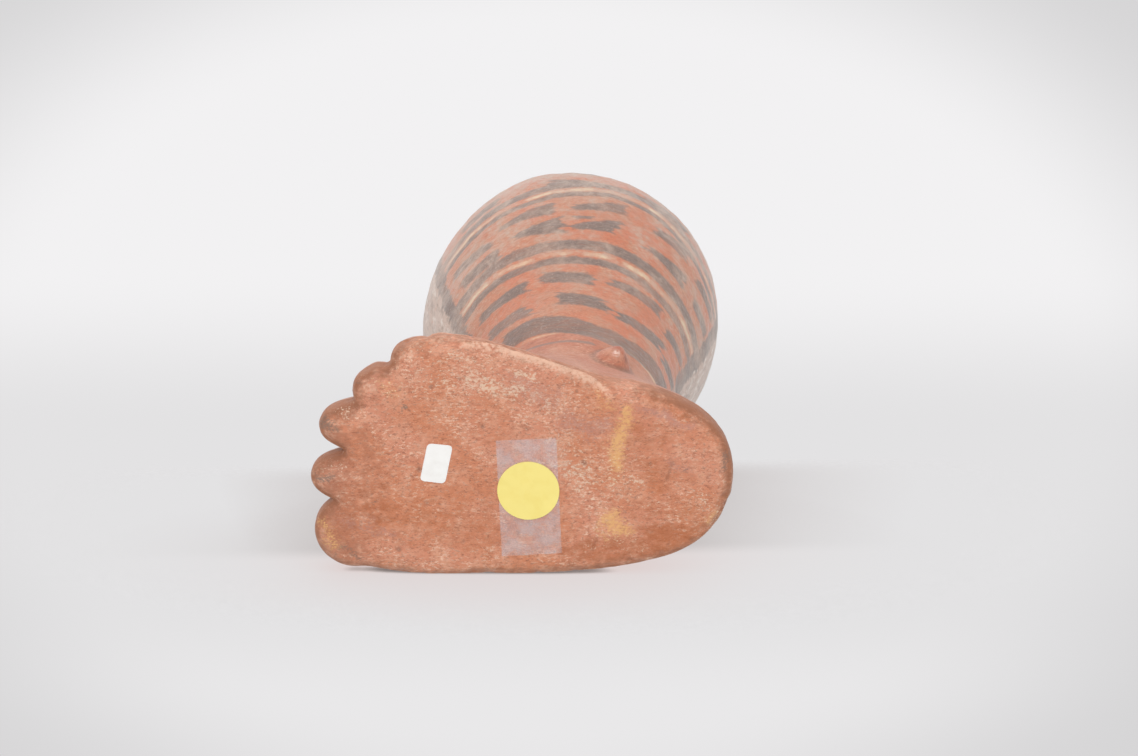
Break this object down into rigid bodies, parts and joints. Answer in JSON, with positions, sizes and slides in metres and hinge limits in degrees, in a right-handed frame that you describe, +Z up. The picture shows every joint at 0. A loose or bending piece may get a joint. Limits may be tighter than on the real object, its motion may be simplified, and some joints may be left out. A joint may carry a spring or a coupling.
{
  "type": "foot and calf vessel",
  "caption": "Hand-built earthenware jar shaped as a left foot with ankle and calf, standing on its flat sole, hollow, with a narrowed neck and a flared open mouth.",
  "frame": {"origin": "on the flat sole, where the axis of the leg meets it", "axes": "+Z up along the leg, -Y towards the toes, +X towards the outer (little toe) side"},
  "size_m": [0.1062, 0.1323, 0.2],
  "materials": {
    "sole_clay": "worn terracotta, dry and scratched",
    "foot_slip": "red slip, wiped and worn",
    "painted_calf": "burnished red slip with dark brushed bands and dashes"
  },
  "bodies": {
    "root": {"sole_slab": "sole_clay", "foot_upper": "foot_slip", "big_toe": "foot_slip", "second_toe": "foot_slip", "third_toe": "foot_slip", "fourth_toe": "foot_slip", "little_toe": "foot_slip", "outer_ankle_knob": "foot_slip", "inner_ankle_knob": "foot_slip", "ankle_wall": "painted_calf", "lower_calf_wall": "painted_calf", "upper_calf_wall": "painted_calf", "rim_ring": "painted_calf"}
  },
  "joints": []
}
